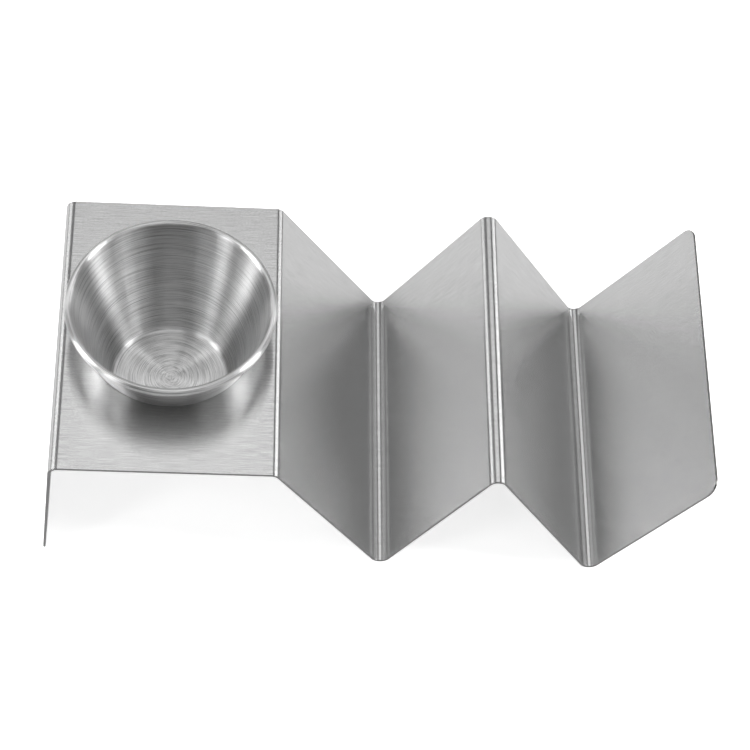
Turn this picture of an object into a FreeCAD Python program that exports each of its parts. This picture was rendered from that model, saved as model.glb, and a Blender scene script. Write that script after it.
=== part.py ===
import FreeCAD, Part
import math
import os

import Sketcher

# Pancake rack: one steel strip, folded into a leg, a shelf and two V-shaped troughs,
# and a loose sauce cup that hangs by its wall in the round hole of the shelf.
# The strip runs along X, its width is along Y, and it stands on the leg and both troughs.

SIZES = {
    # The folded strip; places along X are measured from the inner edge of the leg's foot
    "overall_length": 206.2,
    "rack_depth": 100.0,
    "sheet_thickness": 0.8,
    "fold_radius": 2.5,
    "corner_radius": 4.5,
    "shelf_height": 51.0,
    "ridge_height": 51.0,
    "end_height": 50.1,
    "leg_fold_x": 5.6,
    "shelf_fold_x": 69.3,
    "first_trough_x": 105.6,
    "ridge_x": 138.1,
    "second_trough_x": 172.4,
    "hole_diameter": 52.9,
    # The sauce cup; its cone is measured at the underside and at the top, before the rounding
    "cup_height": 41.4,
    "cup_base_diameter": 38.7,
    "cup_mouth_diameter": 61.8,
    "cup_wall": 0.5,
    "cup_corner_radius": 2.0,
    "bead_diameter": 2.4,
    "bead_height": 2.1,
    # Play between the cup's wall and the edge of the hole
    "seat_gap": 0.1,
}

WALL_COUNT = 6
ORIGIN = (-1, 1)
HORIZONTAL_AXIS = -1
START, END, CENTRE = 1, 2, 3


def vector(x, y):
    return FreeCAD.Vector(x, y, 0)


def make_sheet(doc):
    """The table of driving dimensions: a name and a number in each row."""
    sheet = doc.addObject("Spreadsheet::Sheet", "Sizes")
    for row, (name, value) in enumerate(SIZES.items(), start=1):
        sheet.set("A%d" % row, name)
        sheet.set("B%d" % row, str(value))
        sheet.setAlias("B%d" % row, name)
    doc.recompute()
    return sheet


def make_body(doc, label):
    body = doc.addObject("PartDesign::Body", label)
    body.Label = label
    return body


def make_sketch(body, name, plane_role):
    """A sketch on one of the body's own origin planes."""
    planes = [f for f in body.Origin.OriginFeatures if f.Role == plane_role]
    sketch = body.newObject("Sketcher::SketchObject", name)
    sketch.AttachmentSupport = [(planes[0], "")]
    sketch.MapMode = "FlatFace"
    return sketch


def join(sketch, kind, *places):
    sketch.addConstraint(Sketcher.Constraint(kind, *places))


def dimension(sketch, name, kind, places, expression):
    """A driving constraint whose value follows the table."""
    value = float(sketch.evalExpression(expression))
    index = sketch.addConstraint(Sketcher.Constraint(kind, *places, value))
    sketch.renameConstraint(index, name)
    sketch.setExpression("Constraints." + name, expression)


def tangent_line(start, start_radius, end, end_radius):
    """Ends of a straight run from one bend to the next, and its left-hand normal.

    A radius is positive where the bend's centre lies to the right of the run, negative
    where it lies to the left, and zero at a free end.
    """
    gap = end - start
    angle = math.atan2(gap.y, gap.x) - math.asin((start_radius - end_radius) / gap.Length)
    left = vector(-math.sin(angle), math.cos(angle))
    return start + left * start_radius, end + left * end_radius, left


def add_line(sketch, start, end, construction=False):
    return sketch.addGeometry(Part.LineSegment(start, end), construction)


def add_arc(sketch, centre, entry, leave, clockwise):
    """An arc from entry to leave; gives its number and the positions of those two ends."""
    first, last = (leave, entry) if clockwise else (entry, leave)
    first_angle = math.atan2(first.y - centre.y, first.x - centre.x)
    last_angle = math.atan2(last.y - centre.y, last.x - centre.x)
    if last_angle < first_angle:
        last_angle += 2 * math.pi
    circle = Part.Circle(centre, FreeCAD.Vector(0, 0, 1), (entry - centre).Length)
    arc = sketch.addGeometry(Part.ArcOfCircle(circle, first_angle, last_angle), False)
    return (arc, END, START) if clockwise else (arc, START, END)


def fold_stations(sizes):
    """Foot, five folds and free end: the centre, and the radius of the underside there."""
    inside = sizes.fold_radius
    outside = sizes.fold_radius + sizes.sheet_thickness
    return [
        (vector(0, 0), 0),
        (vector(sizes.leg_fold_x, sizes.shelf_height - outside), inside),
        (vector(sizes.shelf_fold_x, sizes.shelf_height - outside), inside),
        (vector(sizes.first_trough_x, outside), -outside),
        (vector(sizes.ridge_x, sizes.ridge_height - outside), inside),
        (vector(sizes.second_trough_x, outside), -outside),
        (vector(sizes.overall_length - sizes.sheet_thickness, sizes.end_height), 0),
    ]


def draw_surface(sketch, stations, lift):
    """One side of the strip's section, the underside lifted by part of the thickness."""
    runs = []
    for (start, start_radius), (end, end_radius) in zip(stations, stations[1:]):
        first, last, left = tangent_line(start, start_radius, end, end_radius)
        runs.append((first + left * lift, last + left * lift))
    lines = [add_line(sketch, first, last) for first, last in runs]
    arcs = []
    for number in range(1, WALL_COUNT):
        centre, radius = stations[number]
        arc, entry, leave = add_arc(
            sketch, centre, runs[number - 1][1], runs[number][0], clockwise=radius > 0)
        join(sketch, "Tangent", lines[number - 1], END, arc, entry)
        join(sketch, "Tangent", arc, leave, lines[number], START)
        arcs.append(arc)
    return lines, arcs


def draw_fold_section(sketch, sizes):
    """The closed section of the strip: underside, top side and the two cut ends."""
    stations = fold_stations(sizes)
    under, under_arcs = draw_surface(sketch, stations, 0)
    top, top_arcs = draw_surface(sketch, stations, sizes.sheet_thickness)

    first_end = add_line(sketch, sketch.getPoint(under[0], START), sketch.getPoint(top[0], START))
    last_end = add_line(sketch, sketch.getPoint(under[-1], END), sketch.getPoint(top[-1], END))
    join(sketch, "Coincident", first_end, START, under[0], START)
    join(sketch, "Coincident", first_end, END, top[0], START)
    join(sketch, "Coincident", last_end, START, under[-1], END)
    join(sketch, "Coincident", last_end, END, top[-1], END)
    for cut_end, wall in ((first_end, 0), (last_end, -1)):
        join(sketch, "Perpendicular", cut_end, under[wall])
        join(sketch, "Parallel", under[wall], top[wall])
    join(sketch, "Horizontal", under[1])

    inside = "Sizes.fold_radius"
    outside = "Sizes.fold_radius + Sizes.sheet_thickness"
    names = ("leg_fold", "shelf_fold", "first_trough", "ridge", "second_trough")
    for number, name in enumerate(names):
        trough = name.endswith("trough")
        inner, outer = under_arcs[number], top_arcs[number]
        if trough:
            inner, outer = outer, inner
        join(sketch, "Coincident", inner, CENTRE, outer, CENTRE)
        dimension(sketch, name + "_inside", "Radius", (inner,), inside)
        dimension(sketch, name + "_outside", "Radius", (outer,), outside)
        place = (*ORIGIN, inner, CENTRE)
        dimension(sketch, name + "_place", "DistanceX", place, "Sizes.%s_x" % name)
        if trough:
            dimension(sketch, name + "_rise", "DistanceY", place, outside)
    ridge_place = (*ORIGIN, under_arcs[3], CENTRE)
    dimension(sketch, "ridge_rise", "DistanceY", ridge_place, "Sizes.ridge_height - (%s)" % outside)
    leg_place = (*ORIGIN, under_arcs[0], CENTRE)
    dimension(sketch, "shelf_rise", "DistanceY", leg_place, "Sizes.shelf_height - (%s)" % outside)

    join(sketch, "Coincident", under[0], START, *ORIGIN)
    free_end = (*ORIGIN, under[-1], END)
    dimension(sketch, "length", "DistanceX", free_end, "Sizes.overall_length - Sizes.sheet_thickness")
    dimension(sketch, "end_rise", "DistanceY", free_end, "Sizes.end_height")


def strip_corners(shape, sizes):
    """The four short edges that run through the sheet at the corners of the strip."""
    names = []
    for number, edge in enumerate(shape.Edges, start=1):
        straight = isinstance(edge.Curve, Part.Line)
        if straight and abs(edge.Length - sizes.sheet_thickness) < Part.Precision.confusion():
            names.append("Edge%d" % number)
    return names


def make_rack(doc, sizes):
    body = make_body(doc, "folded_rack")

    section = make_sketch(body, "fold_section", "XZ_Plane")
    draw_fold_section(section, sizes)
    sheet = body.newObject("PartDesign::Pad", "folded_sheet")
    sheet.Profile = section
    sheet.SideType = "Symmetric"
    sheet.setExpression("Length", "Sizes.rack_depth")
    doc.recompute()

    corners = body.newObject("PartDesign::Fillet", "rounded_corners")
    corners.Base = (sheet, strip_corners(sheet.Shape, sizes))
    corners.setExpression("Radius", "Sizes.corner_radius")
    doc.recompute()

    outline = make_sketch(body, "hole_outline", "XY_Plane")
    hole_x = (sizes.leg_fold_x + sizes.shelf_fold_x) / 2
    up = FreeCAD.Vector(0, 0, 1)
    circle = outline.addGeometry(Part.Circle(vector(hole_x, 0), up, sizes.hole_diameter / 2), False)
    join(outline, "PointOnObject", circle, CENTRE, HORIZONTAL_AXIS)
    dimension(outline, "hole_size", "Diameter", (circle,), "Sizes.hole_diameter")
    middle = "(Sizes.leg_fold_x + Sizes.shelf_fold_x) / 2"
    dimension(outline, "hole_place", "DistanceX", (*ORIGIN, circle, CENTRE), middle)
    hole = body.newObject("PartDesign::Pocket", "cup_hole")
    hole.Profile = outline
    hole.Type = "ThroughAll"
    hole.Reversed = True

    body.setExpression("Placement.Base.x", "Sizes.sheet_thickness - Sizes.overall_length / 2")
    doc.recompute()
    removed = corners.Shape.Volume - hole.Shape.Volume
    expected = math.pi / 4 * sizes.hole_diameter ** 2 * sizes.sheet_thickness
    if abs(removed - expected) > expected / 1000:
        raise RuntimeError("the cup's hole removed %.1f mm3, not %.1f" % (removed, expected))
    return body


def draw_cup_section(sketch, sizes):
    """Half the cup's section: floor, rounded corner, cone and the curled bead at the rim."""
    wall = sizes.cup_wall
    inside = sizes.cup_corner_radius
    outside = inside + wall
    bead = sizes.bead_diameter / 2
    cone_foot = vector(sizes.cup_base_diameter / 2, 0)
    cone_head = vector(sizes.cup_mouth_diameter / 2, sizes.cup_height)
    along = (cone_head - cone_foot).normalize()
    outward = vector(along.y, -along.x)

    # The corner's centre lies one outside radius in from the cone and up from the floor
    corner_x = cone_foot.x + (outside * along.x - outside) / along.y
    corner = vector(corner_x, outside)
    cone_start = corner + outward * outside
    # The bead's circle touches the inner face of the cone from outside, and its foot is flat
    bead_reach = (sizes.cup_height - bead - (bead - wall) * outward.y) / along.y
    bead_centre = cone_foot + along * bead_reach + outward * (bead - wall)
    bead_foot = sizes.cup_height - sizes.bead_height
    cone_end = cone_foot + along * (bead_foot / along.y)
    foot_reach = math.sqrt(bead ** 2 - (bead_centre.y - bead_foot) ** 2)
    bead_edge = vector(bead_centre.x + foot_reach, bead_foot)

    axis_foot, axis_floor = vector(0, 0), vector(0, wall)
    underside = add_line(sketch, axis_foot, vector(corner.x, 0))
    outer_corner, outer_entry, outer_leave = add_arc(
        sketch, corner, vector(corner.x, 0), cone_start, clockwise=False)
    outer_cone = add_line(sketch, cone_start, cone_end)
    foot = add_line(sketch, cone_end, bead_edge)
    inner_top = bead_centre - outward * bead
    curl, curl_entry, curl_leave = add_arc(
        sketch, bead_centre, bead_edge, inner_top, clockwise=False)
    inner_foot = corner + outward * inside
    inner_cone = add_line(sketch, inner_top, inner_foot)
    inner_corner, inner_entry, inner_leave = add_arc(
        sketch, corner, inner_foot, vector(corner.x, wall), clockwise=True)
    floor = add_line(sketch, vector(corner.x, wall), axis_floor)
    axis = add_line(sketch, axis_floor, axis_foot)
    cone_guide = add_line(sketch, cone_foot, cone_head, construction=True)

    join(sketch, "Coincident", underside, START, *ORIGIN)
    join(sketch, "Horizontal", underside)
    join(sketch, "Tangent", underside, END, outer_corner, outer_entry)
    join(sketch, "Tangent", outer_corner, outer_leave, outer_cone, START)
    join(sketch, "Coincident", outer_cone, END, foot, START)
    join(sketch, "Horizontal", foot)
    join(sketch, "Coincident", foot, END, curl, curl_entry)
    join(sketch, "Tangent", curl, curl_leave, inner_cone, START)
    join(sketch, "Tangent", inner_cone, END, inner_corner, inner_entry)
    join(sketch, "Tangent", inner_corner, inner_leave, floor, START)
    join(sketch, "Horizontal", floor)
    join(sketch, "Coincident", floor, END, axis, START)
    join(sketch, "Coincident", axis, END, *ORIGIN)
    join(sketch, "Vertical", axis)
    join(sketch, "Coincident", outer_corner, CENTRE, inner_corner, CENTRE)
    join(sketch, "Parallel", outer_cone, inner_cone)
    join(sketch, "PointOnObject", outer_cone, START, cone_guide)
    join(sketch, "PointOnObject", outer_cone, END, cone_guide)

    join(sketch, "PointOnObject", cone_guide, START, HORIZONTAL_AXIS)
    foot_place = (*ORIGIN, cone_guide, START)
    head_place = (*ORIGIN, cone_guide, END)
    dimension(sketch, "base_radius", "DistanceX", foot_place, "Sizes.cup_base_diameter / 2")
    dimension(sketch, "mouth_radius", "DistanceX", head_place, "Sizes.cup_mouth_diameter / 2")
    dimension(sketch, "height", "DistanceY", head_place, "Sizes.cup_height")
    dimension(sketch, "corner_inside", "Radius", (inner_corner,), "Sizes.cup_corner_radius")
    dimension(sketch, "corner_outside", "Radius", (outer_corner,),
              "Sizes.cup_corner_radius + Sizes.cup_wall")
    dimension(sketch, "bead_radius", "Radius", (curl,), "Sizes.bead_diameter / 2")
    dimension(sketch, "bead_rise", "DistanceY", (*ORIGIN, curl, CENTRE),
              "Sizes.cup_height - Sizes.bead_diameter / 2")
    dimension(sketch, "bead_foot_rise", "DistanceY", (*ORIGIN, foot, END),
              "Sizes.cup_height - Sizes.bead_height")


def make_cup(doc, sizes):
    body = make_body(doc, "sauce_cup")
    section = make_sketch(body, "cup_section", "XZ_Plane")
    draw_cup_section(section, sizes)
    turned = body.newObject("PartDesign::Revolution", "turned_cup")
    turned.Profile = section
    turned.ReferenceAxis = (section, ["V_Axis"])
    turned.Angle = 360

    # The cone comes to rest where its radius is the hole's, less the play
    drop = ("(Sizes.hole_diameter / 2 - Sizes.seat_gap - Sizes.cup_base_diameter / 2)"
            " * 2 * Sizes.cup_height / (Sizes.cup_mouth_diameter - Sizes.cup_base_diameter)")
    body.setExpression("Placement.Base.x",
                       "Sizes.sheet_thickness - Sizes.overall_length / 2"
                       " + (Sizes.leg_fold_x + Sizes.shelf_fold_x) / 2")
    body.setExpression("Placement.Base.z", "Sizes.shelf_height - " + drop)
    doc.recompute()
    return body


def check(doc, bodies):
    """Stop before anything is written if a feature failed or a shape is not sound."""
    for item in doc.Objects:
        if "Invalid" in item.State or "Error" in item.State:
            raise RuntimeError("%s failed: %s" % (item.Name, item.State))
        if item.isDerivedFrom("Sketcher::SketchObject") and not item.FullyConstrained:
            raise RuntimeError("%s is not fully constrained" % item.Name)
    for body in bodies:
        shape = body.Shape
        if shape.isNull() or not shape.isValid() or len(shape.Solids) != 1:
            raise RuntimeError("%s has no sound solid" % body.Label)
        box = shape.optimalBoundingBox()
        print("%s volume %.1f mm3, x %.3f to %.3f, y %.3f to %.3f, z %.3f to %.3f" % (
            body.Label, shape.Volume, box.XMin, box.XMax, box.YMin, box.YMax, box.ZMin, box.ZMax))


def main():
    doc = FreeCAD.newDocument("pancake_rack")
    sizes = make_sheet(doc)
    bodies = [make_rack(doc, sizes), make_cup(doc, sizes)]
    doc.recompute()
    check(doc, bodies)
    os.makedirs("parts", exist_ok=True)
    for body in bodies:
        body.Shape.exportStep("parts/%s.step" % body.Label)


main()
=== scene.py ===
"""A pancake rack folded from one brushed steel strip, with a spun sauce cup hung in its hole.

Sizes are in millimetres, and in metres only where a mesh, a lamp or the camera is made.
The rack stands on the floor at z = 0, its length runs along X and its width along Y.
"""

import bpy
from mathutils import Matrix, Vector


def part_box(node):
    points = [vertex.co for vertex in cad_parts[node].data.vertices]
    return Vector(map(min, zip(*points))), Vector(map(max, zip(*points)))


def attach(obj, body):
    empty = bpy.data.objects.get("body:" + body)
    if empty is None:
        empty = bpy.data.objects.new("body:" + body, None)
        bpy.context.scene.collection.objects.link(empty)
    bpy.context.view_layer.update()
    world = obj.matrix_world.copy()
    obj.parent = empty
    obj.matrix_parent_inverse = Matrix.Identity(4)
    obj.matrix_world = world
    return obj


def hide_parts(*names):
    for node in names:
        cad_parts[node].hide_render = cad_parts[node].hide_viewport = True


bl_info = {
    "name": "Pancake rack",
    "version": (1, 0, 0),
    "blender": (4, 5, 0),
    "location": "3D View > Sidebar > Pancake rack",
    "description": "Makes a folded steel pancake rack, its sauce cup and a white studio",
    "category": "Add Mesh",
}

import math

import bpy
import numpy as np
from bpy.props import FloatProperty, PointerProperty, StringProperty
from mathutils import Matrix, Vector

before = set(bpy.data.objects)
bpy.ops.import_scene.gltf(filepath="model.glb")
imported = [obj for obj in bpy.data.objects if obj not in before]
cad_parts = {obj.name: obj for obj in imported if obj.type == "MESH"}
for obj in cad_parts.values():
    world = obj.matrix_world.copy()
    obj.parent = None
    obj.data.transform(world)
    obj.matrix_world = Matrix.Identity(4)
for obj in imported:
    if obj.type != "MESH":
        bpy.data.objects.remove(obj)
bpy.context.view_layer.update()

MM = 0.001
TEXTURE_UNIT = 100  # mm of steel that one unit of a texture place covers
SCRATCH_MAP = "scratches"  # the texture places; scratches run along their second axis
TOUCH = 1e-4  # mm; places nearer than this are one point
RACK_LOW, RACK_HIGH = (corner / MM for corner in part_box("folded_rack"))
CUP_LOW, CUP_HIGH = (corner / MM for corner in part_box("sauce_cup"))


def millimetres(name, description, default):
    """A length that the user can set, in millimetres."""
    return FloatProperty(name=name, description=description, default=default, min=0.0, unit="NONE")


class RackSizes(bpy.types.PropertyGroup):
    """The folded strip; places along X are measured from the inner edge of the leg's foot."""

    length: millimetres("Length", "Overall length along X, in mm", RACK_HIGH.x - RACK_LOW.x)
    depth: millimetres("Depth", "Width of the strip along Y, in mm", RACK_HIGH.y - RACK_LOW.y)
    thickness: millimetres("Thickness", "Thickness of the sheet, in mm", 0.8)
    fold_radius: millimetres("Fold radius", "Inside radius of every bend, in mm", 2.5)
    corner_radius: millimetres("Corner radius", "Radius at the strip's four corners, in mm", 4.5)
    edge_radius: millimetres("Edge radius", "Rounding left on the cut edges, in mm", 0.16)
    shelf_height: millimetres("Shelf height", "Top of the shelf above the floor, in mm", 51.0)
    ridge_height: millimetres("Ridge height", "Top of the ridge above the floor, in mm", 51.0)
    end_height: millimetres("End height", "Underside corner of the free end, in mm", 50.1)
    leg_fold_x: millimetres("Leg fold", "Centre of the leg's bend, in mm", 5.6)
    shelf_fold_x: millimetres("Shelf fold", "Centre of the shelf's other bend, in mm", 69.3)
    first_trough_x: millimetres("First trough", "Centre of the first trough's bend, in mm", 105.6)
    ridge_x: millimetres("Ridge", "Centre of the ridge's bend, in mm", 138.1)
    second_trough_x: millimetres("Second trough", "Centre of the second trough, in mm", 172.4)
    hole_diameter: millimetres("Hole", "Diameter of the hole for the cup, in mm", 52.9)


class CupSizes(bpy.types.PropertyGroup):
    """The sauce cup; its cone is measured at the underside and at the top, before rounding."""

    height: millimetres("Height", "Height of the cup, in mm", CUP_HIGH.z - CUP_LOW.z)
    base_diameter: millimetres("Base", "Cone's diameter at the underside, in mm", 38.7)
    mouth_diameter: millimetres("Mouth", "Cone's diameter at the top, in mm", 61.8)
    wall: millimetres("Wall", "Thickness of the cup's sheet, in mm", 0.5)
    corner_radius: millimetres("Corner", "Inside radius between floor and wall, in mm", 2.0)
    bead_diameter: millimetres("Bead", "Diameter of the rolled rim, in mm", 2.4)
    bead_height: millimetres("Bead height", "Height of the rolled rim, in mm", 2.1)
    lathe_mark: millimetres("Centre mark", "Diameter of the lathe centre's mark, in mm", 2.6)


class SteelFinish(bpy.types.PropertyGroup):
    """Colours and scratches of the two steel pieces."""

    strip_light: StringProperty(
        name="Strip, bright lines", description="sRGB hex of the polished hairlines",
        default="#D4D4D4")
    strip_dark: StringProperty(
        name="Strip, dull lines", description="sRGB hex of the hairlines' bottoms",
        default="#B9B9B9")
    # Painted shade: on the cut edges the strip's colour is multiplied by this, to draw the dark
    # line of shade along them.
    painted_edge_shade: StringProperty(
        name="Strip, cut edges", description="sRGB hex that the strip's colour is multiplied by",
        default="#A0A0A0")
    cup_light: StringProperty(
        name="Cup, bright rings", description="sRGB hex of the polished rings", default="#E8E8E8")
    cup_dark: StringProperty(
        name="Cup, dull rings", description="sRGB hex of the rings' bottoms", default="#868686")
    # Real hairlines and rings are about 0.05 mm wide. They are drawn coarser than real, so that
    # they still show when the whole rack fills the picture.
    hairline_width: millimetres("Hairline width", "Width of one brushed line, in mm", 0.24)
    hairline_length: millimetres("Hairline length", "Length of one brushed line, in mm", 7.0)
    ring_width: millimetres("Ring width", "Width of one spun ring, in mm", 0.28)


class StudioSettings(bpy.types.PropertyGroup):
    """The white floor, the lamps around the rack and the camera."""

    floor_size: millimetres("Floor", "Side of the square floor, in mm", 8000.0)
    floor_colour: StringProperty(
        name="Floor colour", description="sRGB hex of the floor", default="#F2F2F2")
    floor_glow: FloatProperty(
        name="Floor glow", description="Light added where the floor is seen", default=0.75,
        min=0.0)
    mirrored_glow: FloatProperty(
        name="Mirrored glow", description="Light added where metal or glass mirrors the floor",
        default=0.1, min=0.0)
    backdrop: FloatProperty(
        name="Backdrop", description="Brightness behind the floor's edge, 1 is white", default=1.0,
        min=0.0)
    sky_back: FloatProperty(
        name="Back sky", description="Brightness of the room behind the rack", default=0.22,
        min=0.0)
    sky_front: FloatProperty(
        name="Front sky", description="Brightness on the camera's side", default=0.02, min=0.0)
    focal_length: FloatProperty(
        name="Focal length", description="For a 36 mm sensor, in mm", default=123.33, min=1.0,
        unit="CAMERA")


def linear(code):
    """An sRGB hex colour as linear RGBA."""
    values = [int(code[i:i + 2], 16) / 255 for i in (1, 3, 5)]
    return [v / 12.92 if v <= 0.04045 else ((v + 0.055) / 1.055) ** 2.4 for v in values] + [1.0]


def add_node(tree, kind, settings=None, links=None):
    """Adds a node: settings are its own properties or input values, links feed its inputs."""
    node = tree.nodes.new(kind)
    for name, value in (settings or {}).items():
        if isinstance(name, int) or name in node.inputs:
            node.inputs[name].default_value = value
        else:
            setattr(node, name, value)
    for name, source in (links or {}).items():
        tree.links.new(source, node.inputs[name])
    return node


def new_material(name):
    """An empty material and its node tree."""
    material = bpy.data.materials.new(name)
    material.use_nodes = True
    material.node_tree.nodes.clear()
    return material, material.node_tree


def make_object(name, points, faces, normals, uvs, material):
    """A smooth mesh with its own normals; uvs holds one pair for each corner of each face."""
    mesh = bpy.data.meshes.new(name)
    mesh.from_pydata([tuple(p * MM) for p in points], [], faces)
    mesh.materials.append(material)
    layer = mesh.uv_layers.new(name=SCRATCH_MAP)
    layer.data.foreach_set("uv", np.asarray(uvs, dtype=np.float32).ravel())
    mesh.shade_smooth()
    mesh.normals_split_custom_set_from_vertices([tuple(n) for n in normals])
    mesh.validate()
    piece = bpy.data.objects.new(name, mesh)
    bpy.context.scene.collection.objects.link(piece)
    return piece


# The folded strip

def fold_stations(sizes):
    """Foot, five folds and free end: x, z, and the radius of the underside there.

    A radius is positive where the bend's centre lies to the right of the run, negative
    where it lies to the left, and zero at a free end.
    """
    inside = sizes.fold_radius
    outside = sizes.fold_radius + sizes.thickness
    return [
        (0.0, 0.0, 0.0),
        (sizes.leg_fold_x, sizes.shelf_height - outside, inside),
        (sizes.shelf_fold_x, sizes.shelf_height - outside, inside),
        (sizes.first_trough_x, outside, -outside),
        (sizes.ridge_x, sizes.ridge_height - outside, inside),
        (sizes.second_trough_x, outside, -outside),
        (sizes.length - sizes.thickness, sizes.end_height, 0.0),
    ]


def fold_runs(sizes):
    """Straight runs and bends in order, each with its span along the flat strip."""
    stations = fold_stations(sizes)
    middle = sizes.thickness / 2
    runs, along, bend = [], 0.0, None
    for (x0, z0, r0), (x1, z1, r1) in zip(stations, stations[1:]):
        gap = math.hypot(x1 - x0, z1 - z0)
        angle = math.atan2(z1 - z0, x1 - x0) - math.asin((r0 - r1) / gap)
        if bend:
            length = abs(bend["radius"] + middle) * abs(angle - bend["first"])
            bend.update(start=along, end=along + length, last=angle)
            runs.append(bend)
            along += length
        left = np.array([-math.sin(angle), math.cos(angle)])
        first = np.array([x0, z0]) + left * r0
        length = math.dist(first, np.array([x1, z1]) + left * r1)
        runs.append({"start": along, "end": along + length, "point": first, "angle": angle})
        along += length
        bend = {"centre": np.array([x1, z1]), "radius": r1, "first": angle}
    return runs


def fold_up(runs, along, lift):
    """Takes places on the flat strip to the folded one: x, z, direction and left normal."""
    place = np.zeros((len(along), 2))
    angle = np.zeros(len(along))
    for number, run in enumerate(runs):
        last = number == len(runs) - 1
        here = (along >= run["start"]) & ((along < run["end"]) | last)
        travel = along[here] - run["start"]
        if "centre" in run:
            share = travel / (run["end"] - run["start"])
            angle[here] = run["first"] + (run["last"] - run["first"]) * share
            left = np.stack([-np.sin(angle[here]), np.cos(angle[here])], axis=1)
            place[here] = run["centre"] + left * run["radius"]
        else:
            angle[here] = run["angle"]
            forward = np.array([math.cos(run["angle"]), math.sin(run["angle"])])
            place[here] = run["point"] + travel[:, None] * forward
    forward = np.stack([np.cos(angle), np.sin(angle)], axis=1)
    left = np.stack([-forward[:, 1], forward[:, 0]], axis=1)
    return place + left * lift, forward, left


class FlatStrip:
    """The flat blank: a grid of rows across the strip, with a ring of faces round the hole."""

    columns = 48
    bend_steps = 14
    shelf_steps = 24
    wall_steps = 4
    corner_steps = 8
    # Rings of faces round the hole, as shares of the way from its edge to the shelf's edge
    ring_shares = (0.0, 0.03, 0.1, 0.25, 0.5, 1.0)

    def __init__(self, sizes, runs):
        self.sizes = sizes
        self.total = runs[-1]["end"]
        shelf = runs[2]
        self.shelf_span = (shelf["start"], shelf["end"])
        self.hole_place = (shelf["start"] + shelf["end"]) / 2
        self.corner_turn = np.linspace(0, math.pi / 2, self.corner_steps + 1)
        rows = []
        for run in runs:
            steps = self.shelf_steps if run is shelf else self.wall_steps
            steps = self.bend_steps if "centre" in run else steps
            rows += list(np.linspace(run["start"], run["end"], steps + 1)[:-1])
        radius = sizes.corner_radius
        self.middle_rows = [s for s in rows if radius < s < self.total - radius]
        self.number_points()

    def number_points(self):
        """Numbers the grid's points and lists the faces and the two boundary loops.

        The shelf's rows, first to last, keep only their boundary: the rings fill the rest.
        """
        ends = self.corner_steps + 1
        count = len(self.middle_rows) + 2 * ends
        first = ends + int(np.argmin(np.abs(np.array(self.middle_rows) - self.shelf_span[0])))
        last = ends + int(np.argmin(np.abs(np.array(self.middle_rows) - self.shelf_span[1])))
        self.grid = -np.ones((count, self.columns + 1), dtype=int)
        number = 0
        for row in range(count):
            inside = first < row < last
            for column in range(self.columns + 1):
                if not inside or column in (0, self.columns):
                    self.grid[row, column] = number
                    number += 1
        self.grid_points = number
        sheet = self.grid
        self.faces = [
            (sheet[r, c], sheet[r + 1, c], sheet[r + 1, c + 1], sheet[r, c + 1])
            for r in range(count - 1) if not first <= r < last
            for c in range(self.columns)]
        far = self.columns
        self.around = ([(r, 0) for r in range(first, last)] + [(last, c) for c in range(far)]
                       + [(r, far) for r in range(last, first, -1)]
                       + [(first, c) for c in range(far, 0, -1)])
        rim = [sheet[p] for p in self.around]
        rings = [list(range(number + k * len(rim), number + (k + 1) * len(rim)))
                 for k in range(len(self.ring_shares) - 1)] + [rim]
        for inner, outer in zip(rings, rings[1:]):
            for k in range(len(rim)):
                n = (k + 1) % len(rim)
                self.faces.append((inner[k], outer[k], outer[n], inner[n]))
        self.hole_loop = rings[0][::-1]
        bottom = count - 1
        self.outer_cells = ([(r, 0) for r in range(bottom)] + [(bottom, c) for c in range(far)]
                            + [(r, far) for r in range(bottom, 0, -1)]
                            + [(0, c) for c in range(far, 0, -1)])
        self.outer_loop = [sheet[p] for p in self.outer_cells]

    def points(self, inset):
        """Places along and across the strip, with every edge drawn in by the inset."""
        radius, half = self.sizes.corner_radius, self.sizes.depth / 2
        turn = self.corner_turn
        end_rows = radius - (radius - inset) * np.cos(turn)
        end_reach = half - radius + (radius - inset) * np.sin(turn)
        middle = np.array(self.middle_rows)
        along = np.concatenate([end_rows, middle, self.total - end_rows[::-1]])
        reach = np.concatenate([end_reach, np.full(len(middle), half - inset), end_reach[::-1]])
        share = np.linspace(-1, 1, self.columns + 1)
        flat = np.zeros((self.grid_points, 2))
        used = self.grid >= 0
        flat[self.grid[used], 0] = np.repeat(along[:, None], len(share), axis=1)[used]
        flat[self.grid[used], 1] = (reach[:, None] * share[None, :])[used]
        rim = flat[[self.grid[p] for p in self.around]]
        centre = np.array([self.hole_place, 0.0])
        ray = rim - centre
        ray /= np.linalg.norm(ray, axis=1)[:, None]
        circle = centre + ray * (self.sizes.hole_diameter / 2 + inset)
        rings = [circle + (rim - circle) * share for share in self.ring_shares[:-1]]
        return np.concatenate([flat] + rings)

    def outward(self):
        """For each point of the outer loop and of the hole's loop, the way out of the sheet."""
        turn = self.corner_turn
        last = self.grid.shape[0] - 1
        ways = []
        for row, column in self.outer_cells:
            side = -1.0 if column == 0 else 1.0
            if row <= self.corner_steps:
                step, way = row, -1.0
            elif row >= last - self.corner_steps:
                step, way = last - row, 1.0
            else:
                step, way = self.corner_steps, 0.0
            if column in (0, self.columns):
                ways.append((way * math.cos(turn[step]), side * math.sin(turn[step])))
            else:
                ways.append((way, 0.0))
        flat = self.points(0.0)
        centre = np.array([self.hole_place, 0.0])
        inward = centre - flat[self.hole_loop]
        inward /= np.linalg.norm(inward, axis=1)[:, None]
        return np.array(ways), inward


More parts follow.
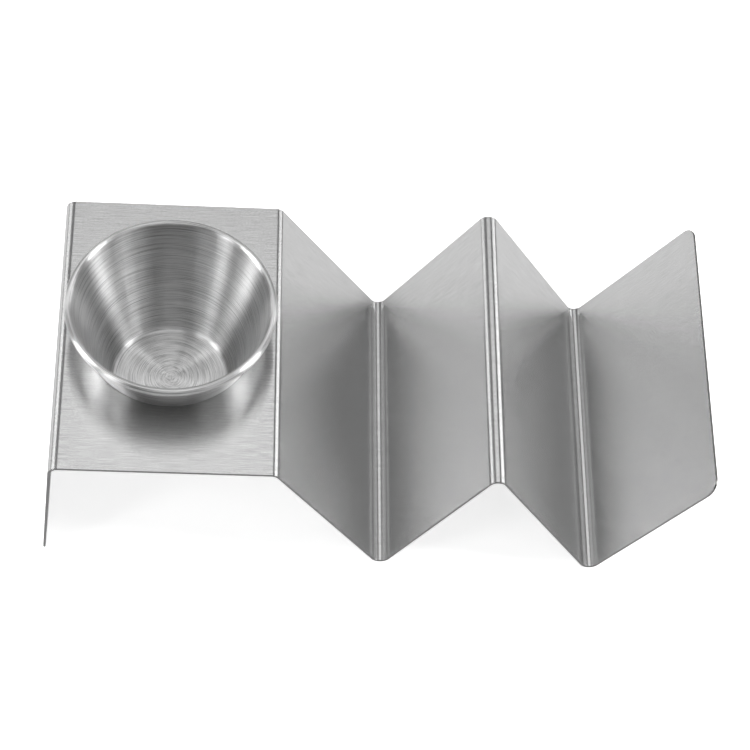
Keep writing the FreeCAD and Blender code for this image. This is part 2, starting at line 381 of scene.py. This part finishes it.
def build_rack(sizes):
    """Points, faces, normals and texture places of the folded sheet, and 1 on its cut edges."""
    runs = fold_runs(sizes)
    strip = FlatStrip(sizes, runs)
    soft = sizes.edge_radius
    thick = sizes.thickness
    shift = np.array([sizes.thickness - sizes.length / 2, 0.0, 0.0])
    points, normals, texture = [], [], []

    def place(flat, lift):
        section, forward, left = fold_up(runs, flat[:, 0], lift)
        spot = np.stack([section[:, 0], flat[:, 1], section[:, 1]], axis=1) + shift
        up = np.stack([left[:, 0], np.zeros(len(flat)), left[:, 1]], axis=1)
        ahead = np.stack([forward[:, 0], np.zeros(len(flat)), forward[:, 1]], axis=1)
        return spot, up, ahead

    flat = strip.points(soft)
    size = len(flat)
    for lift, sign in ((0.0, -1.0), (thick, 1.0)):
        spot, up, _ = place(flat, lift)
        points.append(spot)
        normals.append(up * sign)
        texture.append(flat)
    faces = [tuple(int(v) for v in reversed(face)) for face in strip.faces]
    faces += [tuple(int(v) + size for v in face) for face in strip.faces]

    # The rounded cut edge: from the underside's boundary, over the side, to the top's
    levels = [(soft * (1 - math.sin(a)), soft * (1 - math.cos(a)), -math.cos(a), math.sin(a))
              for a in np.radians([30.0, 60.0, 90.0])]
    levels += [(inset, thick - lift, -upright, sideways)
               for inset, lift, upright, sideways in reversed(levels)]
    total = 2 * size
    for loop, ways in zip((strip.outer_loop, strip.hole_loop), strip.outward()):
        rings = [list(loop)]
        for inset, lift, upright, sideways in levels:
            level = strip.points(inset)[loop]
            spot, up, ahead = place(level, lift)
            out = ahead * ways[:, :1]
            out[:, 1] += ways[:, 1]
            points.append(spot)
            normals.append(up * upright + out * sideways)
            texture.append(level + ways * lift)
            rings.append(list(range(total, total + len(loop))))
            total += len(loop)
        rings.append([v + size for v in loop])
        for lower, upper in zip(rings, rings[1:]):
            for k in range(len(loop)):
                n = (k + 1) % len(loop)
                faces.append(tuple(int(v) for v in (lower[k], lower[n], upper[n], upper[k])))
    points, normals = np.concatenate(points), np.concatenate(normals)
    texture = np.concatenate(texture)[:, ::-1]
    corners = np.concatenate([np.array(face) for face in faces])
    cut = (np.arange(len(points)) >= 2 * size).astype(np.float32)
    return points, faces, normals, texture[corners] / TEXTURE_UNIT, cut


# The sauce cup

def cup_profile(sizes):
    """Half the cup's section from the axis out, over the bead and back to the axis."""
    wall, inside = sizes.wall, sizes.corner_radius
    outside, bead = inside + wall, sizes.bead_diameter / 2
    foot = np.array([sizes.base_diameter / 2, 0.0])
    head = np.array([sizes.mouth_diameter / 2, sizes.height])
    up_wall = (head - foot) / np.linalg.norm(head - foot)
    out = np.array([up_wall[1], -up_wall[0]])
    slope = math.degrees(math.atan2(out[1], out[0]))
    corner = np.array([foot[0] + (outside * up_wall[0] - outside) / up_wall[1], outside])
    reach = (sizes.height - bead - (bead - wall) * out[1]) / up_wall[1]
    roll = foot + up_wall * reach + out * (bead - wall)
    under = sizes.height - sizes.bead_height
    crease = 0.12  # mm taken off both corners of the bead's underside
    foot_turn = 8  # degrees taken off the bead at its foot
    pieces = []

    def straight(start, end, normal, steps):
        """A straight part of the section, with the way out of the metal."""
        share = np.linspace(0, 1, steps + 1)[:, None]
        pieces.append((start + (end - start) * share, np.repeat([normal], steps + 1, axis=0)))

    def curve(centre, radius, first, last, steps, sign=1.0):
        """An arc from one angle to another, in degrees; sign is -1 inside the cup."""
        turn = np.radians(np.linspace(first, last, steps + 1))
        way = np.stack([np.cos(turn), np.sin(turn)], axis=1)
        pieces.append((centre + way * radius, way * sign))

    down = np.array([0.0, -1.0])
    straight(np.array([0.0, 0.0]), np.array([corner[0], 0.0]), down, 10)
    curve(corner, outside, -90, slope, 8)
    wall_end = foot + up_wall * ((under - crease) / up_wall[1])
    straight(corner + out * outside, wall_end, out, 24)
    foot_inner = foot + up_wall * (under / up_wall[1])
    foot_angle = -math.degrees(math.asin((roll[1] - under) / bead))
    foot_way = np.array([math.cos(math.radians(foot_angle)), math.sin(math.radians(foot_angle))])
    foot_outer = roll + bead * foot_way
    straight(foot_inner + np.array([crease, 0.0]), foot_outer - np.array([crease, 0.0]), down, 2)
    curve(roll, bead, foot_angle + foot_turn, 180 + slope, 26)
    inner_top = roll - out * bead
    inner_foot = corner + out * inside
    straight(inner_top, inner_foot, -out, 30)
    curve(corner, inside, slope, -90, 8, -1.0)
    mark = sizes.lathe_mark / 2
    straight(np.array([corner[0], wall]), np.array([mark, wall]), -down, 16)
    # The lathe's centre leaves a shallow ring with a small rise in its middle
    deep = 0.05  # mm
    share = np.linspace(1, 0, 13)
    depth = deep * np.sin(math.pi * share) ** 2
    slant = deep * math.pi * np.sin(2 * math.pi * share) / mark
    ring = np.stack([share * mark, wall - depth], axis=1)
    way = np.stack([slant, np.ones(len(share))], axis=1)
    pieces.append((ring, way / np.linalg.norm(way, axis=1)[:, None]))

    spots, ways = [pieces[0][0][0]], [pieces[0][1][0]]
    for piece_spots, piece_ways in pieces:
        for spot, way in zip(piece_spots, piece_ways):
            if np.linalg.norm(spot - spots[-1]) > TOUCH:
                spots.append(spot)
                ways.append(way)
    return np.array(spots), np.array(ways)


def build_cup(sizes, centre_x, base_z, sectors=144):
    """The cup turned about its axis, with its texture places and the rings' coordinate.

    That coordinate is a point on a circle of radius 1, and the travel along the section in mm.
    """
    section, ways = cup_profile(sizes)
    travel = np.concatenate([[0.0], np.cumsum(np.linalg.norm(np.diff(section, axis=0), axis=1))])
    turn = np.arange(sectors) * 2 * math.pi / sectors
    cos, sin = np.cos(turn), np.sin(turn)
    points, normals, rings, number = [], [], [], []
    for k, ((r, z), (nr, nz)) in enumerate(zip(section, ways)):
        if r < TOUCH:
            number.append([len(points)] * sectors)
            points.append((centre_x, 0.0, base_z + z))
            normals.append((0.0, 0.0, math.copysign(1.0, nz)))
            rings.append((0.0, 0.0, travel[k]))
            continue
        number.append(list(range(len(points), len(points) + sectors)))
        for c, s in zip(cos, sin):
            points.append((centre_x + r * c, r * s, base_z + z))
            normals.append((nr * c, nr * s, nz))
            rings.append((c, s, travel[k]))
    faces, uvs = [], []
    middle_radius = 20  # mm, where the texture is as wide as the metal
    step = 2 * math.pi / sectors * middle_radius
    for k in range(len(section) - 1):
        for j in range(sectors):
            n = (j + 1) % sectors
            corners = [(number[k][j], k, j), (number[k][n], k, j + 1),
                       (number[k + 1][n], k + 1, j + 1), (number[k + 1][j], k + 1, j)]
            kept = [c for i, c in enumerate(corners) if c[0] != corners[i - 1][0]]
            faces.append(tuple(c[0] for c in kept))
            uvs += [(travel[c[1]] / TEXTURE_UNIT, c[2] * step / TEXTURE_UNIT) for c in kept]
    return np.array(points), faces, np.array(normals), uvs, np.array(rings)


# Finishes

def scratched_steel(tree, height, colour, dull, polished, anisotropy, bump_strength, depth):
    """Bare steel under a pattern of scratches, dull in their bottoms and polished beside them.

    The scratches run across the tangent and spread a highlight along it. Dull and polished are
    roughnesses, and depth is in mm.
    """
    rough = add_node(tree, "ShaderNodeMapRange",
                     {"From Min": 0.3, "From Max": 0.7, "To Min": dull, "To Max": polished},
                     {"Value": height})
    bump = add_node(tree, "ShaderNodeBump", {"Strength": bump_strength, "Distance": depth * MM},
                    {"Height": height})
    tangent = add_node(tree, "ShaderNodeTangent",
                       {"direction_type": "UV_MAP", "uv_map": SCRATCH_MAP})
    steel = add_node(tree, "ShaderNodeBsdfPrincipled",
                     {"Metallic": 1.0, "Anisotropic": anisotropy},
                     {"Base Color": colour, "Roughness": rough.outputs["Result"],
                      "Normal": bump.outputs["Normal"], "Tangent": tangent.outputs["Tangent"]})
    add_node(tree, "ShaderNodeOutputMaterial", links={"Surface": steel.outputs["BSDF"]})


def lengthwise_brushed_stainless(finish):
    """Stainless sheet brushed along the strip before folding.

    Long hairlines spread a highlight across themselves, so it runs as a soft band from side
    to side, and the bends show as thin bright lines.
    """
    material, tree = new_material("lengthwise_brushed_stainless")
    uv = add_node(tree, "ShaderNodeUVMap", {"uv_map": SCRATCH_MAP})
    across, along = TEXTURE_UNIT / finish.hairline_width, TEXTURE_UNIT / finish.hairline_length
    fine_place = add_node(tree, "ShaderNodeVectorMath",
                          {"operation": "MULTIPLY", 1: (across, along, 1.0)},
                          {0: uv.outputs["UV"]})
    fine = add_node(tree, "ShaderNodeTexNoise", {"Scale": 1.0, "Detail": 3.0, "Roughness": 0.6},
                    {"Vector": fine_place.outputs["Vector"]})
    # Wider streaks, four times a hairline's size, that the eye can follow over a whole wall
    wide_place = add_node(tree, "ShaderNodeVectorMath",
                          {"operation": "MULTIPLY", 1: (across / 4, along / 4, 1.0)},
                          {0: uv.outputs["UV"]})
    wide = add_node(tree, "ShaderNodeTexNoise", {"Scale": 1.0, "Detail": 2.0, "Roughness": 0.5},
                    {"Vector": wide_place.outputs["Vector"]})
    lines = add_node(tree, "ShaderNodeMix", {"data_type": "FLOAT", "Factor": 0.12},
                     {"A": fine.outputs["Fac"], "B": wide.outputs["Fac"]})
    # Tiny pits and rubbed spots from handling, 0.5 by 0.8 mm, drawn coarser than real
    grit_place = add_node(tree, "ShaderNodeVectorMath",
                          {"operation": "MULTIPLY",
                           1: (TEXTURE_UNIT / 0.5, TEXTURE_UNIT / 0.8, 1.0)},
                          {0: uv.outputs["UV"]})
    grit = add_node(tree, "ShaderNodeTexNoise", {"Scale": 1.0, "Detail": 2.0, "Roughness": 0.7},
                    {"Vector": grit_place.outputs["Vector"]})
    surface = add_node(tree, "ShaderNodeMix", {"data_type": "FLOAT", "Factor": 0.3},
                       {"A": lines.outputs[0], "B": grit.outputs["Fac"]})
    height = surface.outputs[0]
    colour = add_node(tree, "ShaderNodeValToRGB", links={"Fac": height})
    dull, polished = colour.color_ramp.elements
    dull.position, dull.color = 0.32, linear(finish.strip_dark)
    polished.position, polished.color = 0.68, linear(finish.strip_light)
    # Painted shade: the cut edges are darkened to draw the dark line of shade along them. On a
    # colour mix, sockets 6 and 7 are the colours and output 2 is the result.
    cut = add_node(tree, "ShaderNodeAttribute", {"attribute_name": "cut_edge"})
    shade = add_node(tree, "ShaderNodeMix",
                     {"data_type": "RGBA", "blend_type": "MULTIPLY",
                      7: linear(finish.painted_edge_shade)},
                     {"Factor": cut.outputs["Fac"], 6: colour.outputs["Color"]})
    scratched_steel(tree, height, shade.outputs[2], dull=0.27, polished=0.22, anisotropy=0.95,
                    bump_strength=0.5, depth=0.008)
    return material


def spun_brushed_stainless(finish):
    """Stainless cup polished on a lathe.

    Fine rings round the axis draw every highlight out into a streak along the wall, and fan it
    over the floor, as on a record.
    """
    material, tree = new_material("spun_brushed_stainless")
    rings = add_node(tree, "ShaderNodeAttribute", {"attribute_name": "rings"})
    # Fine rings, each of which changes its shade slowly on its way round
    fine_place = add_node(tree, "ShaderNodeVectorMath",
                          {"operation": "MULTIPLY", 1: (1.2, 1.2, 1 / finish.ring_width)},
                          {0: rings.outputs["Vector"]})
    fine = add_node(tree, "ShaderNodeTexNoise", {"Scale": 1.0, "Detail": 4.0, "Roughness": 0.75},
                    {"Vector": fine_place.outputs["Vector"]})
    # Single deeper scratches, each a long arc: only the lowest tenth of this noise shows. They
    # are drawn coarser than real, like the rings, so that they show.
    arc_place = add_node(tree, "ShaderNodeVectorMath",
                         {"operation": "MULTIPLY", 1: (0.9, 0.9, 1.4 / finish.ring_width)},
                         {0: rings.outputs["Vector"]})
    arcs = add_node(tree, "ShaderNodeTexNoise", {"Scale": 1.0, "Detail": 1.0, "Roughness": 0.5},
                    {"Vector": arc_place.outputs["Vector"]})
    deeper = add_node(tree, "ShaderNodeMapRange",
                      {"From Min": 0.3, "From Max": 0.37, "To Min": 0.62},
                      {"Value": arcs.outputs["Fac"]})
    lines = add_node(tree, "ShaderNodeMath", {"operation": "MULTIPLY"},
                     {0: fine.outputs["Fac"], 1: deeper.outputs["Result"]})
    height = lines.outputs["Value"]
    colour = add_node(tree, "ShaderNodeValToRGB", links={"Fac": height})
    dull, polished = colour.color_ramp.elements
    dull.position, dull.color = 0.22, linear(finish.cup_dark)
    polished.position, polished.color = 0.58, linear(finish.cup_light)
    scratched_steel(tree, height, colour.outputs["Color"], dull=0.37, polished=0.31,
                    anisotropy=1.0, bump_strength=1.0, depth=0.012)
    return material


# The studio

def mirrored_rays(tree, path):
    """1 for a ray that comes off metal or through glass, and 0 for the others."""
    return add_node(tree, "ShaderNodeMath", {"operation": "MAXIMUM"},
                    {0: path.outputs["Is Glossy Ray"], 1: path.outputs["Is Transmission Ray"]})


def matt_white_floor(studio):
    """Painted board: it takes the rack's soft shadow, and glows to white where it is seen."""
    material, tree = new_material("matt_white_floor")
    paint = add_node(tree, "ShaderNodeBsdfDiffuse", {"Color": linear(studio.floor_colour)})
    path = add_node(tree, "ShaderNodeLightPath")
    in_metal = add_node(tree, "ShaderNodeMath", {"operation": "MULTIPLY", 1: studio.mirrored_glow},
                        {0: mirrored_rays(tree, path).outputs["Value"]})
    level = add_node(tree, "ShaderNodeMath", {"operation": "MULTIPLY_ADD", 1: studio.floor_glow},
                     {0: path.outputs["Is Camera Ray"], 2: in_metal.outputs["Value"]})
    glow = add_node(tree, "ShaderNodeEmission", {"Color": (1.0, 1.0, 1.0, 1.0)},
                    {"Strength": level.outputs["Value"]})
    both = add_node(tree, "ShaderNodeAddShader",
                    links={0: paint.outputs["BSDF"], 1: glow.outputs["Emission"]})
    add_node(tree, "ShaderNodeOutputMaterial", links={"Surface": both.outputs["Shader"]})
    return material


# The studio's softboxes as the rack sees them, in degrees: name, turn from +X, lift above the
# floor, width and height, then the level of the face, where 1 is white
LAMPS = (
    ("right_box", -7, 37, 11, 38, 12.0),
    ("right_front_box", -44, 38, 24, 30, 0.9),
    ("right_back_box", 34, 32, 14, 34, 2.4),
    ("left_box", 181, 34, 11, 38, 11.5),
    ("left_front_strip", 213, 36, 10, 34, 4.2),
    ("left_back_box", 145, 21, 11, 28, 1.8),
    ("left_high_box", 180, 66, 20, 14, 1.2),
    ("back_box", 88, 63, 36, 22, 1.3),
    ("overhead_box", 270, 84, 24, 44, 0.9),
)
LAMP_DISTANCE = 1600  # mm


def add_lamp(name, turn, lift, width, height, level):
    """A softbox that faces the rack, with a plain white face."""
    turn, lift = math.radians(turn), math.radians(lift)
    flat = math.cos(lift)
    way = Vector((math.cos(turn) * flat, math.sin(turn) * flat, math.sin(lift)))
    lamp = bpy.data.lights.new(name, "AREA")
    lamp.shape = "RECTANGLE"
    lamp.size = 2 * LAMP_DISTANCE * MM * math.tan(math.radians(width / 2))
    lamp.size_y = 2 * LAMP_DISTANCE * MM * math.tan(math.radians(height / 2))
    # A face at level 1 gives pi watts for each square metre
    lamp.energy = level * math.pi * lamp.size * lamp.size_y
    holder = bpy.data.objects.new(name, lamp)
    holder.location = way * LAMP_DISTANCE * MM
    holder.rotation_euler = way.to_track_quat("Z", "Y").to_euler()
    holder.visible_camera = False
    bpy.context.scene.collection.objects.link(holder)


# In metal and glass the backdrop is white up to the first height, and gone at the second. The
# room brightens from the first place behind the camera to the second behind the rack. All are
# on a sphere of radius 1 round the rack, along Z and along Y.
BACKDROP_TOP = (0.01, 0.04)
ROOM_TURN = (-0.5, 0.4)


def fill_world(studio):
    """A dim room with a white backdrop, which metal and glass mirror just above the horizon."""
    world = bpy.data.worlds.new("studio_room")
    world.use_nodes = True
    tree = world.node_tree
    tree.nodes.clear()
    place = add_node(tree, "ShaderNodeTexCoord")
    way = add_node(tree, "ShaderNodeSeparateXYZ", links={"Vector": place.outputs["Generated"]})
    room = add_node(tree, "ShaderNodeMapRange",
                    {"interpolation_type": "SMOOTHSTEP",
                     "From Min": ROOM_TURN[0], "From Max": ROOM_TURN[1],
                     "To Min": studio.sky_front, "To Max": studio.sky_back},
                    {"Value": way.outputs["Y"]})
    low = add_node(tree, "ShaderNodeMapRange",
                   {"interpolation_type": "SMOOTHSTEP",
                    "From Min": BACKDROP_TOP[0], "From Max": BACKDROP_TOP[1],
                    "To Min": 1.0, "To Max": 0.0},
                   {"Value": way.outputs["Z"]})
    path = add_node(tree, "ShaderNodeLightPath")
    in_metal = add_node(tree, "ShaderNodeMath", {"operation": "MULTIPLY"},
                        {0: mirrored_rays(tree, path).outputs["Value"], 1: low.outputs["Result"]})
    white = add_node(tree, "ShaderNodeMath", {"operation": "MAXIMUM"},
                     {0: path.outputs["Is Camera Ray"], 1: in_metal.outputs["Value"]})
    backdrop = add_node(tree, "ShaderNodeMath", {"operation": "MULTIPLY", 1: studio.backdrop},
                        {0: white.outputs["Value"]})
    level = add_node(tree, "ShaderNodeMath", {"operation": "MAXIMUM"},
                     {0: backdrop.outputs["Value"], 1: room.outputs["Result"]})
    back = add_node(tree, "ShaderNodeBackground", {"Color": (1.0, 1.0, 1.0, 1.0)},
                    {"Strength": level.outputs["Value"]})
    add_node(tree, "ShaderNodeOutputWorld", links={"Surface": back.outputs["Background"]})
    bpy.context.scene.world = world


# The floor lies just under the rack's feet, in mm
FLOOR_GAP = 0.05

# The camera, fitted to the photograph: its place in mm, and the ways of its right and its up
CAMERA_PLACE = (-51.04, -447.34, 713.20)
CAMERA_RIGHT = (0.99751, -0.00669, 0.07024)
CAMERA_UP = (-0.03289, 0.83668, 0.54671)


def add_floor(studio):
    """A square board, larger than the picture."""
    half = studio.floor_size / 2 * MM
    corners = [(-half, -half), (half, -half), (half, half), (-half, half)]
    mesh = bpy.data.meshes.new("white_floor")
    mesh.from_pydata([(x, y, -FLOOR_GAP * MM) for x, y in corners], [], [(0, 1, 2, 3)])
    mesh.materials.append(matt_white_floor(studio))
    floor = bpy.data.objects.new("white_floor", mesh)
    bpy.context.scene.collection.objects.link(floor)


def add_camera(studio):
    """The camera at the photograph's place."""
    camera = bpy.data.cameras.new("photo_camera")
    camera.lens = studio.focal_length
    camera.sensor_width = 36.0  # mm
    camera.clip_start, camera.clip_end = 0.01, 50.0  # m
    holder = bpy.data.objects.new("photo_camera", camera)
    right, up = Vector(CAMERA_RIGHT), Vector(CAMERA_UP)
    turn = Matrix((right, up, right.cross(up))).transposed().to_4x4()
    holder.matrix_world = Matrix.Translation(Vector(CAMERA_PLACE) * MM) @ turn
    bpy.context.scene.collection.objects.link(holder)
    bpy.context.scene.camera = holder


# The operators, the panel and the run

class PANCAKERACK_OT_rack(bpy.types.Operator):
    """Folds the steel strip into a leg, a shelf with a hole and two troughs"""

    bl_idname = "pancakerack.rack"
    bl_label = "Make the rack"

    def execute(self, context):
        sizes, finish = context.scene.pancake_rack_sizes, context.scene.pancake_rack_finish
        steel = lengthwise_brushed_stainless(finish)
        points, faces, normals, uvs, cut = build_rack(sizes)
        piece = make_object("brushed_rack", points, faces, normals, uvs, steel)
        # Marks the cut edges, where the material paints a line of shade.
        painted_shade_layer = piece.data.attributes.new("cut_edge", "FLOAT", "POINT")
        painted_shade_layer.data.foreach_set("value", cut)
        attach(piece, "root")
        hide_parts("folded_rack")
        return {"FINISHED"}


class PANCAKERACK_OT_cup(bpy.types.Operator):
    """Spins the sauce cup and hangs it in the hole of the shelf"""

    bl_idname = "pancakerack.cup"
    bl_label = "Make the cup"

    def execute(self, context):
        sizes, finish = context.scene.pancake_cup_sizes, context.scene.pancake_rack_finish
        steel = spun_brushed_stainless(finish)
        middle = (CUP_LOW.x + CUP_HIGH.x) / 2
        points, faces, normals, uvs, rings = build_cup(sizes, middle, CUP_LOW.z)
        piece = make_object("spun_cup", points, faces, normals, uvs, steel)
        spun = piece.data.attributes.new("rings", "FLOAT_VECTOR", "POINT")
        spun.data.foreach_set("vector", rings.astype(np.float32).ravel())
        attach(piece, "root")
        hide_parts("sauce_cup")
        return {"FINISHED"}


class PANCAKERACK_OT_studio(bpy.types.Operator):
    """Lays the white floor and sets the lamps and the camera"""

    bl_idname = "pancakerack.studio"
    bl_label = "Make the studio"

    def execute(self, context):
        studio = context.scene.pancake_rack_studio
        add_floor(studio)
        fill_world(studio)
        for lamp in LAMPS:
            add_lamp(*lamp)
        add_camera(studio)
        context.scene.view_settings.view_transform = "Standard"
        return {"FINISHED"}


class PANCAKERACK_PT_panel(bpy.types.Panel):
    """Sizes, finish and studio of the pancake rack"""

    bl_idname = "PANCAKERACK_PT_panel"
    bl_label = "Pancake rack"
    bl_space_type = "VIEW_3D"
    bl_region_type = "UI"
    bl_category = "Pancake rack"

    def draw(self, context):
        scene = context.scene
        parts = (
            ("pancakerack.rack", scene.pancake_rack_sizes),
            ("pancakerack.cup", scene.pancake_cup_sizes),
            ("pancakerack.studio", scene.pancake_rack_studio),
        )
        for operator, group in parts:
            box = self.layout.box()
            for name in group.__annotations__:
                box.prop(group, name)
            box.operator(operator)
        box = self.layout.box()
        for name in scene.pancake_rack_finish.__annotations__:
            box.prop(scene.pancake_rack_finish, name)


GROUPS = {
    "pancake_rack_sizes": RackSizes,
    "pancake_cup_sizes": CupSizes,
    "pancake_rack_finish": SteelFinish,
    "pancake_rack_studio": StudioSettings,
}
CLASSES = (*GROUPS.values(), PANCAKERACK_OT_rack, PANCAKERACK_OT_cup, PANCAKERACK_OT_studio,
           PANCAKERACK_PT_panel)


def register():
    """Makes the classes known and hangs their settings on the scene."""
    for item in CLASSES:
        bpy.utils.register_class(item)
    for name, group in GROUPS.items():
        setattr(bpy.types.Scene, name, PointerProperty(type=group))


def unregister():
    """Takes the settings and the classes away again."""
    for name in GROUPS:
        delattr(bpy.types.Scene, name)
    for item in reversed(CLASSES):
        bpy.utils.unregister_class(item)


def main():
    """Makes the rack, the cup and the studio."""
    register()
    bpy.ops.pancakerack.rack()
    bpy.ops.pancakerack.cup()
    bpy.ops.pancakerack.studio()
    bpy.context.view_layer.update()


if __name__ == "__main__":
    main()
